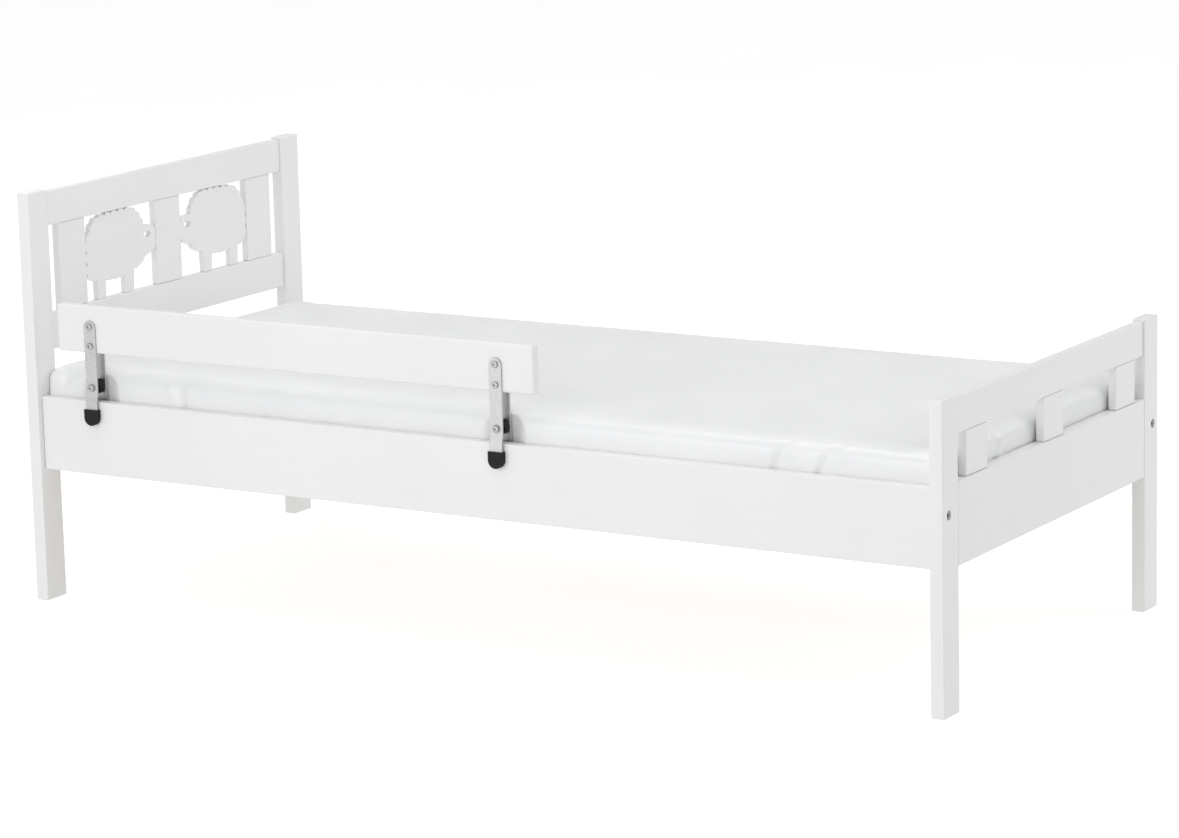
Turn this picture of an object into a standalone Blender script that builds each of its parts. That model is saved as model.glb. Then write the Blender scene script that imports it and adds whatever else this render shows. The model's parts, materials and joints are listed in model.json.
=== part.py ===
"""Toddler bed: two end frames, side rails, a slatted base, a mattress and a clamp-on guard rail.

Units are metres and +Z is up. The origin is on the floor under the middle of the bed.
The head is at -X and the foot at +X. "Near" is the -Y side, where the guard rail is,
and "far" is the +Y side. A depth is measured inwards from the bed's outermost face.
"""
import math

import bmesh
import bpy
from mathutils import Matrix, Vector

# Whole bed
LENGTH = 1.650
WIDTH = 0.750
ENDS = {"head": -1, "foot": 1}
SIDES = {"near": -1, "far": 1}
GAP = 0.0003
ROUND = 16

# Posts
POST_HEIGHT = {"head": 0.670, "foot": 0.468}
POST_THICK = 0.022
POST_WIDE = 0.050
POST_EDGE = 0.002

# End frames: depths from the posts' outer faces, then heights
PANEL_DEPTH = (0.0030, 0.0175)
SLAT_DEPTH = (0.0030, 0.0162)
SHEEP_DEPTH = (0.0046, 0.0146)
BASE_DEPTH = (0.0005, 0.0215)
BASE_BOARD = (0.217, 0.342)
MID_RAIL = (0.408, 0.468)
TOP_RAIL = {"head": (0.6105, 0.666), "foot": (0.410, 0.464)}
WINDOW_BOTTOM = {"head": MID_RAIL[1], "foot": BASE_BOARD[1]}
MIDDLE_SLAT_HALF = 0.034
OUTER_SLAT = (0.224, 0.294)
BOARD_EDGE = 0.0012

# Side rails and the strips that carry the slatted base
RAIL_DEPTH = (0.010, 0.028)
RAIL_HEIGHTS = (0.218, 0.338)
LEDGE_WIDE = 0.020
LEDGE_HEIGHTS = (0.235, 0.265)
LEDGE_HALF = 0.775

# Slatted base
BED_SLATS = 11
BED_SLAT_PITCH = 0.143
BED_SLAT_WIDE = 0.070
BED_SLAT_THICK = 0.0177
BED_SLAT_HALF = 0.344

# Mattress
MATTRESS_X = (-0.800, 0.800)
MATTRESS_Y = (-0.336, 0.344)
MATTRESS_THICK = 0.1015
MATTRESS_EDGE = 0.022

# Knock-down fittings between the posts and the side rails
BOLT_Z = 0.298
BOLT_RADIUS = 0.003
BOLT_HEAD_RADIUS = 0.0068
BOLT_HEAD_THICK = 0.005
BOLT_SEAT_DEPTH = 0.007
BOLT_LENGTH = 0.060
BARREL_FROM_END = 0.038
BARREL_RADIUS = 0.005
BARREL_LENGTH = 0.014
BOLT_HOLE_DEPTH = 0.051
BARREL_HOLE_DEPTH = 0.0165

# Guard rail board, and the two clamp brackets that grip the near side rail
GUARD_X = (-0.763, 0.137)
GUARD_HEIGHTS = (0.417, 0.493)
BRACKET_X = {"left": -0.697, "right": 0.071}
BAR_WIDE = 0.022
BAR_THICK = 0.003
BAR_HEIGHTS = (0.305, 0.470)
JOGGLE_HEIGHTS = (0.339, 0.350)
JOGGLE = 0.0034
GUARD_SCREW_Z = {"lower": 0.4285, "upper": 0.460}
GUARD_SCREW_RADIUS = 0.0025
CAP_WIDE = 0.026
CAP_HEIGHTS = (0.300, 0.326)
CAP_THICK = 0.0094
CLAMP_Z = 0.361
CLAMP_RADIUS = 0.003
WASHER_RADIUS = 0.0065
WASHER_THICK = 0.0012
HEAD_RADIUS = 0.0055
HEAD_THICK = 0.003
SCREW_HEAD_THICK = 0.0026
KNOB_RADIUS = 0.012
KNOB_THICK = 0.012
KNOB_OFFSET = -0.0015
FLUTES = 8
FLUTE_DEPTH = 0.0011
NUT_THICK = 0.004
NUT_WIDE = 0.010
CAP_FLOOR = 0.0035
SCREW_END = 0.0014
CLAMP_END_GAP = 0.0006

# Hex sockets: the radius over the corners and the depth
BOLT_SOCKET = (0.0034, 0.0030)
SCREW_SOCKET = (0.0020, 0.0016)
CLAMP_SOCKET = (0.0022, 0.0020)

HALF_RAIL = (RAIL_DEPTH[1] - RAIL_DEPTH[0]) / 2
RAIL_MIDDLE = WIDTH / 2 - RAIL_DEPTH[0] - HALF_RAIL
BED_SLAT_BOTTOM = LEDGE_HEIGHTS[1] + GAP
MATTRESS_BOTTOM = BED_SLAT_BOTTOM + BED_SLAT_THICK + GAP


# Scene, collections and finishes

def clear_scene():
    for obj in list(bpy.data.objects):
        bpy.data.objects.remove(obj, do_unlink=True)


def new_collection(name):
    collection = bpy.data.collections.new(name)
    bpy.context.scene.collection.children.link(collection)
    return collection


def new_finish(name, colour, roughness, metallic=0.0):
    material = bpy.data.materials.new(name)
    material.use_nodes = True
    shader = material.node_tree.nodes["Principled BSDF"]
    shader.inputs["Base Color"].default_value = (*colour, 1.0)
    shader.inputs["Roughness"].default_value = roughness
    shader.inputs["Metallic"].default_value = metallic
    return material


clear_scene()
PARTS = new_collection("toddler_bed")
CUTTERS = new_collection("cutters")
LACQUER = new_finish("white_lacquer", (0.86, 0.86, 0.85), 0.38)
BIRCH = new_finish("birch", (0.72, 0.56, 0.38), 0.55)
STEEL = new_finish("steel", (0.62, 0.62, 0.63), 0.35, 1.0)
ZINC = new_finish("zinc", (0.55, 0.55, 0.56), 0.40, 1.0)
PLASTIC = new_finish("black_plastic", (0.015, 0.015, 0.017), 0.42)
FABRIC = new_finish("mattress_fabric", (0.85, 0.85, 0.86), 0.45)


# Modelling helpers

def add_block(bm, low, high):
    """Add a box between two corners."""
    low = Vector(low)
    high = Vector(high)
    cube = bmesh.ops.create_cube(bm, size=1.0)["verts"]
    bmesh.ops.scale(bm, vec=high - low, verts=cube)
    bmesh.ops.translate(bm, vec=(low + high) / 2, verts=cube)


def add_rod(bm, centre, axis, radius, length, segments=ROUND):
    """Add a capped cylinder whose middle is at centre."""
    rod = bmesh.ops.create_cone(
        bm, cap_ends=True, segments=segments, radius1=radius, radius2=radius, depth=length)["verts"]
    turn = Vector((0, 0, 1)).rotation_difference(Vector(axis)).to_matrix().to_4x4()
    bmesh.ops.transform(bm, matrix=Matrix.Translation(centre) @ turn, verts=rod)


def add_object(name, data, finish, origin, collection):
    obj = bpy.data.objects.new(name, data)
    obj.location = origin
    if finish:
        data.materials.append(finish)
    collection.objects.link(obj)
    return obj


def solid(name, bm, finish, origin=(0, 0, 0), smooth=False):
    """Turn a bmesh in world coordinates into a part whose origin is at the given point."""
    bmesh.ops.translate(bm, vec=-Vector(origin), verts=bm.verts)
    mesh = bpy.data.meshes.new(name)
    bm.to_mesh(mesh)
    bm.free()
    if smooth:
        mesh.shade_smooth()
        mesh.set_sharp_from_angle(angle=math.radians(35))
    return add_object(name, mesh, finish, origin, PARTS)


def box(name, x_range, y_range, z_range, finish, edge=0.0, segments=1):
    """Make a board between two limits on each axis, with its edges rounded."""
    low = [min(limits) for limits in (x_range, y_range, z_range)]
    high = [max(limits) for limits in (x_range, y_range, z_range)]
    bm = bmesh.new()
    add_block(bm, low, high)
    obj = solid(name, bm, finish, origin=(Vector(low) + Vector(high)) / 2)
    if edge:
        bevel = obj.modifiers.new("edges", "BEVEL")
        bevel.width = edge
        bevel.segments = segments
    return obj


def cut(host, label, bm, operation="DIFFERENCE"):
    """Cut the host with a closed mesh, which stays as a hidden wire object."""
    mesh = bpy.data.meshes.new(host.name + "_" + label)
    bm.to_mesh(mesh)
    bm.free()
    cutter = add_object(mesh.name, mesh, None, (0, 0, 0), CUTTERS)
    combine(host, label, cutter, operation)


def combine(host, label, cutter, operation):
    cutter.display_type = "WIRE"
    cutter.hide_render = True
    boolean = host.modifiers.new(label, "BOOLEAN")
    boolean.operation = operation
    boolean.solver = "EXACT"
    boolean.object = cutter


def outline_solid(name, outlines, thickness, rotation, origin, finish, collection):
    """Extrude closed flat outlines, then make the result one welded mesh object."""
    curve = bpy.data.curves.new(name + "_outline", "CURVE")
    curve.dimensions = "2D"
    curve.fill_mode = "BOTH"
    curve.extrude = thickness / 2
    for outline in outlines:
        spline = curve.splines.new("POLY")
        spline.points.add(len(outline) - 1)
        for point, (across, up) in zip(spline.points, outline):
            point.co = (across, up, 0, 1)
        spline.use_cyclic_u = True
    flat = add_object(curve.name, curve, None, origin, collection)
    flat.rotation_euler = rotation
    bpy.context.view_layer.update()
    mesh = bpy.data.meshes.new_from_object(flat.evaluated_get(bpy.context.evaluated_depsgraph_get()))
    mesh.name = name
    bm = bmesh.new()
    bm.from_mesh(mesh)
    bmesh.ops.remove_doubles(bm, verts=bm.verts, dist=0.00001)
    bmesh.ops.recalc_face_normals(bm, faces=bm.faces)
    bm.to_mesh(mesh)
    bm.free()
    obj = add_object(name, mesh, finish, (0, 0, 0), collection)
    obj.matrix_world = flat.matrix_world.copy()
    bpy.data.objects.remove(flat)
    return obj


def turned(name, profile, point, axis, finish):
    """Sweep a (radius, height) profile, outer side from the top down, around an axis at a point."""
    mesh = bpy.data.meshes.new(name)
    points = [(radius, 0, height) for radius, height in profile]
    edges = [(index, index + 1) for index in range(len(points) - 1)]
    mesh.from_pydata(points, edges, [])
    obj = add_object(name, mesh, finish, point, PARTS)
    obj.rotation_mode = "QUATERNION"
    obj.rotation_quaternion = Vector((0, 0, 1)).rotation_difference(Vector(axis))
    screw = obj.modifiers.new("turn", "SCREW")
    screw.steps = ROUND
    screw.render_steps = ROUND
    screw.use_merge_vertices = True
    screw.merge_threshold = 0.00001
    screw.use_smooth_shade = True
    return obj


def bolt_profile(head_radius, head_thick, radius, length):
    """A round-headed bolt along -Z from its head's seat at height 0."""
    crown = head_thick * 0.35
    return [
        (0, head_thick),
        (head_radius - crown, head_thick),
        (head_radius, head_thick - crown),
        (head_radius, 0),
        (radius, 0),
        (radius, 0.0008 - length),
        (radius * 0.75, -length),
        (0, -length),
    ]


def cut_socket(fastener, centre, axis, size):
    """Cut a hex socket into a head, from the middle of its outer face."""
    radius, depth = size
    socket = bmesh.new()
    add_rod(socket, centre, axis, radius, 2 * depth, 6)
    cut(fastener, "hex_socket", socket)


# Places

def end_range(end, depths):
    """The X limits of a piece between two depths inside one end's outer face."""
    return [ENDS[end] * (LENGTH / 2 - depth) for depth in depths]


def end_middle(end, depths):
    return sum(end_range(end, depths)) / 2


def side_range(side, depths):
    """The Y limits of a piece between two depths inside one side's outer face."""
    return [SIDES[side] * (WIDTH / 2 - depth) for depth in depths]


def between(limits):
    """Shrink a range by the touching gap at both of its limits."""
    low, high = sorted(limits)
    return (low + GAP, high - GAP)


def corners():
    return [(end, side) for end in ENDS for side in SIDES]


# The sheep figure, drawn as distances from the bed's middle line and heights

FRONT_FOOT = (0.0985, 0.1205)
REAR_FOOT = (0.1740, 0.1950)
WOOL_BULGE = 0.0040
BELLY_BULGE = 0.0022
BACK_Z = TOP_RAIL["head"][0] - GAP - WOOL_BULGE
RUMP_Y = OUTER_SLAT[0] - GAP - WOOL_BULGE
FOOT_Z = MID_RAIL[1] + GAP
FACE_Y = MIDDLE_SLAT_HALF + GAP
CHEST = [(0.0965, 0.5050), (0.0790, 0.5095), (0.0660, 0.5205)]
FACE = [
    (0.0520, 0.5245), (0.0400, 0.5300), (FACE_Y, 0.5370), (FACE_Y, 0.5600),
    (0.0370, 0.5670), (0.0430, 0.5715), (0.0570, 0.5725), (0.0675, 0.5735),
]
FLEECE = [
    (0.0740, 0.5880), (0.0850, 0.5990), (0.0985, BACK_Z - 0.001), (0.1160, BACK_Z),
    (0.1345, BACK_Z), (0.1530, BACK_Z - 0.001), (0.1700, 0.6040), (0.1870, 0.6025),
    (0.2000, 0.5960), (0.2080, 0.5830), (RUMP_Y, 0.5690), (RUMP_Y, 0.5500), (RUMP_Y, 0.5310),
    (RUMP_Y, 0.5130), (0.2075, 0.5050), (0.1965, 0.5030),
]
BELLY = [(0.1730, 0.4985), (0.1560, 0.4970), (0.1390, 0.4970), (0.1215, 0.4985)]
NECK_HOLE = (0.0560, 0.5570)
NECK_HOLE_SIZE = (0.0095, 0.0055)


def bulge(start, end, height, steps=6):
    """Points after start, up to end, of an arc that stands out on the left of the way there."""
    start = Vector(start)
    end = Vector(end)
    chord = end - start
    left = Vector((-chord.y, chord.x)).normalized()
    half_angle = 2 * math.atan(2 * height / chord.length)
    radius = chord.length / (2 * math.sin(half_angle))
    centre = (start + end) / 2 - left * (radius - height)
    points = []
    for step in range(1, steps + 1):
        angle = half_angle * (1 - 2 * step / steps)
        along = chord.normalized() * math.sin(angle)
        points.append(centre - radius * along + radius * left * math.cos(angle))
    return [tuple(point) for point in points]


def wool(points, height):
    """A row of equal bulges through the given points, without the first point."""
    outline = []
    for start, end in zip(points, points[1:]):
        outline.extend(bulge(start, end, height))
    return outline


def sheep_outline():
    """The closed outline, clockwise from the front foot, up the chest and over the back."""
    outline = [(FRONT_FOOT[0], FOOT_Z), CHEST[0]]
    outline += wool(CHEST, BELLY_BULGE)
    outline += FACE
    outline += wool([FACE[-1]] + FLEECE, WOOL_BULGE)
    outline += [(REAR_FOOT[1], FOOT_Z), (REAR_FOOT[0], FOOT_Z), BELLY[0]]
    outline += wool(BELLY, BELLY_BULGE)
    outline.append((FRONT_FOOT[1], FOOT_Z))
    return outline


def ellipse(centre, size, count):
    angles = [2 * math.pi * index / count for index in range(count)]
    return [(centre[0] + size[0] * math.cos(a), centre[1] + size[1] * math.sin(a)) for a in angles]


# Parts of the end frames

def make_post(end, side):
    """A post with a recessed seat and a through hole for the side rail's bolt."""
    post = box(end + "_post_" + side, end_range(end, (0, POST_THICK)), side_range(side, (0, POST_WIDE)),
               (0, POST_HEIGHT[end]), LACQUER, POST_EDGE, 2)
    outer = (ENDS[end] * LENGTH / 2, SIDES[side] * RAIL_MIDDLE, BOLT_Z)
    seat = bmesh.new()
    add_rod(seat, outer, (1, 0, 0), BOLT_HEAD_RADIUS + 2 * GAP, 2 * BOLT_SEAT_DEPTH)
    cut(post, "bolt_seat", seat)
    hole = bmesh.new()
    add_rod(hole, outer, (1, 0, 0), BOLT_RADIUS + GAP, 4 * POST_THICK)
    cut(post, "bolt_hole", hole)
    return post


def make_crossbar(name, end, depths, heights):
    """A board from post to post."""
    half = WIDTH / 2 - POST_WIDE - GAP
    return box(name, end_range(end, depths), (-half, half), heights, LACQUER, BOARD_EDGE, 2)


def make_end_slat(end, label, y_range):
    heights = between((WINDOW_BOTTOM[end], TOP_RAIL[end][0]))
    return box(end + "_slat_" + label, end_range(end, SLAT_DEPTH), y_range, heights, LACQUER, 0.001)


def make_end_slats(end):
    half = MIDDLE_SLAT_HALF
    slats = [make_end_slat(end, "middle", (-half, half))]
    for side, sign in SIDES.items():
        slats.append(make_end_slat(end, side, [sign * y for y in OUTER_SLAT]))
    return slats


def make_sheep(side):
    """A flat sheep that looks towards the middle slat, cut from a thinner board."""
    sign = SIDES[side]
    outlines = [sheep_outline(), ellipse(NECK_HOLE, NECK_HOLE_SIZE, 14)]
    placed = [[(sign * y, z) for y, z in outline] for outline in outlines]
    thickness = SHEEP_DEPTH[1] - SHEEP_DEPTH[0]
    origin = (end_middle("head", SHEEP_DEPTH), 0, 0)
    turn = (math.pi / 2, 0, math.pi / 2)
    return outline_solid("sheep_" + side, placed, thickness, turn, origin, LACQUER, PARTS)


def make_end_frame(end):
    pieces = [make_post(end, side) for side in SIDES]
    pieces.append(make_crossbar(end + "_top_rail", end, PANEL_DEPTH, TOP_RAIL[end]))
    pieces.append(make_crossbar(end + "_base_board", end, BASE_DEPTH, BASE_BOARD))
    pieces += make_end_slats(end)
    if end == "head":
        pieces.append(make_crossbar("head_mid_rail", end, PANEL_DEPTH, MID_RAIL))
        pieces += [make_sheep(side) for side in SIDES]
    return pieces


# Side rails and slatted base

def barrel_x(end):
    return ENDS[end] * (LENGTH / 2 - POST_THICK - BARREL_FROM_END)


def make_side_rail(side):
    """A side rail with a bolt hole and a blind barrel nut hole at each end."""
    half = LENGTH / 2 - POST_THICK - GAP
    rail = box("side_rail_" + side, (-half, half), side_range(side, RAIL_DEPTH), RAIL_HEIGHTS,
               LACQUER, POST_EDGE, 2)
    y = SIDES[side] * RAIL_MIDDLE
    inner = SIDES[side] * (WIDTH / 2 - RAIL_DEPTH[1])
    bolts = bmesh.new()
    barrels = bmesh.new()
    for end in ENDS:
        add_rod(bolts, (ENDS[end] * half, y, BOLT_Z), (1, 0, 0), BOLT_RADIUS + GAP,
                2 * BOLT_HOLE_DEPTH)
        add_rod(barrels, (barrel_x(end), inner, BOLT_Z), (0, 1, 0), BARREL_RADIUS + GAP,
                2 * BARREL_HOLE_DEPTH)
    cut(rail, "bolt_holes", bolts)
    cut(rail, "barrel_holes", barrels)
    return rail


def make_ledge(side):
    outer = WIDTH / 2 - RAIL_DEPTH[1] - GAP
    inner = outer - LEDGE_WIDE
    sign = SIDES[side]
    return box("slat_ledge_" + side, (-LEDGE_HALF, LEDGE_HALF), (sign * inner, sign * outer),
               LEDGE_HEIGHTS, BIRCH, 0.001)


def make_bed_slat(number):
    x = (number - (BED_SLATS - 1) / 2) * BED_SLAT_PITCH
    half = BED_SLAT_WIDE / 2
    heights = (BED_SLAT_BOTTOM, BED_SLAT_BOTTOM + BED_SLAT_THICK)
    name = "bed_slat_%02d" % (number + 1)
    return box(name, (x - half, x + half), (-BED_SLAT_HALF, BED_SLAT_HALF), heights, BIRCH, 0.002)


def make_rail_bolt(end, side):
    """A bolt with a hex socket, from the outer face of a post into a side rail."""
    outwards = ENDS[end]
    seat = outwards * (LENGTH / 2 - BOLT_SEAT_DEPTH + GAP)
    y = SIDES[side] * RAIL_MIDDLE
    profile = bolt_profile(BOLT_HEAD_RADIUS, BOLT_HEAD_THICK, BOLT_RADIUS, BOLT_LENGTH)
    name = "rail_bolt_" + end + "_" + side
    bolt = turned(name, profile, (seat, y, BOLT_Z), (outwards, 0, 0), ZINC)
    cut_socket(bolt, (seat + outwards * BOLT_HEAD_THICK, y, BOLT_Z), (1, 0, 0), BOLT_SOCKET)
    return bolt


def make_barrel_nut(end, side):
    """A cross dowel in a side rail, which the bolt screws into."""
    centre = (barrel_x(end), SIDES[side] * RAIL_MIDDLE, BOLT_Z)
    barrel = bmesh.new()
    add_rod(barrel, centre, (0, 1, 0), BARREL_RADIUS, BARREL_LENGTH)
    nut = solid("barrel_nut_" + end + "_" + side, barrel, ZINC, centre, smooth=True)
    thread = bmesh.new()
    add_rod(thread, centre, (1, 0, 0), BOLT_RADIUS + GAP, 6 * BARREL_RADIUS)
    cut(nut, "thread", thread)
    return nut


def make_mattress():
    heights = (MATTRESS_BOTTOM, MATTRESS_BOTTOM + MATTRESS_THICK)
    return box("mattress", MATTRESS_X, MATTRESS_Y, heights, FABRIC, MATTRESS_EDGE, 3)


# Guard rail: an offset is measured from the middle plane of its board, outwards when positive

def guard_y(offset):
    return -RAIL_MIDDLE - offset


def guard_range(low, high):
    return (guard_y(high), guard_y(low))


BAR_INNER = HALF_RAIL + GAP
BAR_OUTER = BAR_INNER + BAR_THICK
WASHER_SEAT = BAR_OUTER + GAP
BOLT_SEAT = WASHER_SEAT + WASHER_THICK + GAP


def make_guard_board():
    board = box("guard_board", GUARD_X, guard_range(-HALF_RAIL, HALF_RAIL), GUARD_HEIGHTS,
                LACQUER, 0.003, 2)
    holes = bmesh.new()
    for x in BRACKET_X.values():
        for z in GUARD_SCREW_Z.values():
            add_rod(holes, (x, guard_y(0), z), (0, 1, 0), GUARD_SCREW_RADIUS + GAP, 4 * HALF_RAIL, 12)
    cut(board, "screw_holes", holes)
    return board


def bar_profile(direction):
    """The bar's side view as (y, z) points: straight at the board, set off beside the rail."""
    bottom, top = BAR_HEIGHTS
    low, high = JOGGLE_HEIGHTS
    inner = [(BAR_INNER, top), (BAR_INNER, high), (BAR_INNER + JOGGLE, low), (BAR_INNER + JOGGLE, bottom)]
    outer = [(offset + BAR_THICK, z) for offset, z in reversed(inner)]
    return [(guard_y(direction * offset), z) for offset, z in inner + outer]


def bar_face(x):
    """The bar's front view as (x, z) points, with both of its ends rounded."""
    radius = BAR_WIDE / 2
    bottom, top = BAR_HEIGHTS
    points = []
    for step in range(13):
        angle = math.pi * step / 12
        points.append((x + radius * math.cos(angle), top - radius + radius * math.sin(angle)))
    for step in range(13):
        angle = math.pi * (1 + step / 12)
        points.append((x + radius * math.cos(angle), bottom + radius + radius * math.sin(angle)))
    return points


def make_bar(name, x, direction):
    """A flat steel bar; direction is +1 outside the board and -1 inside, where a nut is welded on."""
    side_turn = (math.pi / 2, 0, math.pi / 2)
    profile = [bar_profile(direction)]
    bar = outline_solid(name, profile, BAR_WIDE + 0.002, side_turn, (x, 0, 0), STEEL, PARTS)
    middle = guard_y(direction * (BAR_OUTER + BAR_INNER) / 2)
    front = outline_solid(name + "_face", [bar_face(x)], 10 * BAR_THICK, (math.pi / 2, 0, 0),
                          (0, middle, 0), None, CUTTERS)
    combine(bar, "face", front, "INTERSECT")
    if direction < 0:
        add_weld_nut(bar, x)
    holes = bmesh.new()
    for z in GUARD_SCREW_Z.values():
        add_rod(holes, (x, middle, z), (0, 1, 0), GUARD_SCREW_RADIUS + GAP, 4 * BAR_THICK, 12)
    add_rod(holes, (x, middle, CLAMP_Z), (0, 1, 0), CLAMP_RADIUS + GAP, 5 * NUT_THICK, 12)
    cut(bar, "holes", holes)
    return bar


def add_weld_nut(bar, x):
    """Join a square nut to the mattress side of an inner bar, around the clamp bolt."""
    half = NUT_WIDE / 2
    nut = bmesh.new()
    y_low = guard_y(-(BAR_OUTER - BAR_THICK / 2))
    y_high = guard_y(-(BAR_OUTER + NUT_THICK))
    add_block(nut, (x - half, y_low, CLAMP_Z - half), (x + half, y_high, CLAMP_Z + half))
    cut(bar, "weld_nut", nut, "UNION")


def cap_face(x):
    """The cap's front view: a flat top and a round bottom."""
    radius = CAP_WIDE / 2
    bottom, top = CAP_HEIGHTS
    points = [(x - radius, top), (x + radius, top)]
    for step in range(13):
        angle = -math.pi * step / 12
        points.append((x + radius * math.cos(angle), bottom + radius + radius * math.sin(angle)))
    return points


def make_cap(name, x, direction):
    """A plastic cap over the lower end of a bar, which bears on the side rail."""
    middle = BAR_INNER + CAP_THICK / 2
    origin = (0, guard_y(direction * middle), 0)
    cap = outline_solid(name, [cap_face(x)], CAP_THICK, (math.pi / 2, 0, 0), origin, PLASTIC, PARTS)
    half = BAR_WIDE / 2 + GAP
    inner = BAR_INNER + JOGGLE - GAP
    outer = BAR_INNER + JOGGLE + BAR_THICK + GAP
    y_low, y_high = sorted((guard_y(direction * inner), guard_y(direction * outer)))
    pocket = bmesh.new()
    add_block(pocket, (x - half, y_low, CAP_HEIGHTS[0] + CAP_FLOOR), (x + half, y_high, BAR_HEIGHTS[1]))
    cut(cap, "pocket", pocket)
    return cap


def make_guard_screw(label, level, x, z):
    """A screw through the outer bar and the board, threaded into the inner bar."""
    seat = (x, guard_y(BAR_OUTER + GAP), z)
    profile = bolt_profile(HEAD_RADIUS, SCREW_HEAD_THICK, GUARD_SCREW_RADIUS, BAR_OUTER * 2 + SCREW_END)
    screw = turned("guard_screw_" + label + "_" + level, profile, seat, (0, -1, 0), ZINC)
    cut_socket(screw, (x, guard_y(BAR_OUTER + SCREW_HEAD_THICK), z), (0, 1, 0), SCREW_SOCKET)
    return screw


def make_clamp_washer(label, x):
    centre = (x, guard_y(WASHER_SEAT + WASHER_THICK / 2), CLAMP_Z)
    disc = bmesh.new()
    add_rod(disc, centre, (0, 1, 0), WASHER_RADIUS, WASHER_THICK, 20)
    washer = solid("clamp_washer_" + label, disc, ZINC, centre, smooth=True)
    hole = bmesh.new()
    add_rod(hole, centre, (0, 1, 0), CLAMP_RADIUS + GAP, 5 * WASHER_THICK, 12)
    cut(washer, "hole", hole)
    return washer


def make_clamp_bolt(label, x):
    """The bolt that draws the two bars together; it turns about its own axis."""
    seat = (x, guard_y(BOLT_SEAT), CLAMP_Z)
    length = BOLT_SEAT + BAR_OUTER + NUT_THICK - CLAMP_END_GAP
    profile = bolt_profile(HEAD_RADIUS, HEAD_THICK, CLAMP_RADIUS, length)
    bolt = turned("clamp_bolt_" + label, profile, seat, (0, -1, 0), ZINC)
    cut_socket(bolt, (x, guard_y(BOLT_SEAT + HEAD_THICK), CLAMP_Z), (0, 1, 0), CLAMP_SOCKET)
    return bolt


def knob_outline():
    """A round grip with finger flutes around its rim."""
    count = 48
    points = []
    for index in range(count):
        angle = 2 * math.pi * index / count
        radius = KNOB_RADIUS - FLUTE_DEPTH * (1 - math.cos(FLUTES * angle)) / 2
        points.append((radius * math.cos(angle), radius * math.sin(angle)))
    return points


def make_clamp_knob(label, x):
    """The finger wheel fixed on the clamp bolt, between the two bars."""
    origin = (x, guard_y(KNOB_OFFSET), CLAMP_Z)
    bore = ellipse((0, 0), (CLAMP_RADIUS + GAP, CLAMP_RADIUS + GAP), 12)
    return outline_solid("clamp_knob_" + label, [knob_outline(), bore], KNOB_THICK,
                         (math.pi / 2, 0, 0), origin, PLASTIC, PARTS)


def make_bracket(label, x):
    """The screws, bars and caps of one bracket, and its screw clamp as a second list."""
    fixed = [make_guard_screw(label, level, x, z) for level, z in GUARD_SCREW_Z.items()]
    for place, direction in (("outer", 1), ("inner", -1)):
        fixed.append(make_bar("guard_" + place + "_bar_" + label, x, direction))
        fixed.append(make_cap("guard_" + place + "_cap_" + label, x, direction))
    clamp = [make_clamp_washer(label, x), make_clamp_bolt(label, x), make_clamp_knob(label, x)]
    return fixed, clamp


# Assembly

def group_under(name, pieces, place, parent=None):
    """Parent the pieces to an empty without moving them."""
    empty = add_object(name, None, None, place, PARTS)
    bpy.context.view_layer.update()
    if parent:
        empty.parent = parent
        empty.matrix_parent_inverse = parent.matrix_world.inverted()
    bpy.context.view_layer.update()
    for piece in pieces:
        piece.parent = empty
        piece.matrix_parent_inverse = empty.matrix_world.inverted()
    return empty


def build_frame():
    pieces = []
    for end in ENDS:
        pieces += make_end_frame(end)
    for side in SIDES:
        pieces.append(make_side_rail(side))
        pieces.append(make_ledge(side))
    pieces += [make_bed_slat(number) for number in range(BED_SLATS)]
    for end, side in corners():
        pieces.append(make_rail_bolt(end, side))
        pieces.append(make_barrel_nut(end, side))
    group_under("bed_frame", pieces, (0, 0, 0))


def build_guard():
    fixed = [make_guard_board()]
    clamps = {}
    for label, x in BRACKET_X.items():
        bars, clamps[label] = make_bracket(label, x)
        fixed += bars
    guard = group_under("guard_rail", fixed, (sum(GUARD_X) / 2, guard_y(0), GUARD_HEIGHTS[0]))
    for label, pieces in clamps.items():
        place = (BRACKET_X[label], guard_y(BOLT_SEAT), CLAMP_Z)
        group_under("clamp_" + label, pieces, place, guard)


build_frame()
build_guard()
group_under("mattress_place", [make_mattress()], (0, 0, MATTRESS_BOTTOM))
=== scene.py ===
"""Looks of the toddler bed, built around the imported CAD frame.

Units are metres in the frame of the CAD model. The head is at -X, the foot at +X,
and "near" is the -Y side, where the guard rail is clamped on.
"""

import json
import math
import random

import bmesh
import bpy
import numpy as np
from mathutils import Matrix, Vector
from mathutils.bvhtree import BVHTree

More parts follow.
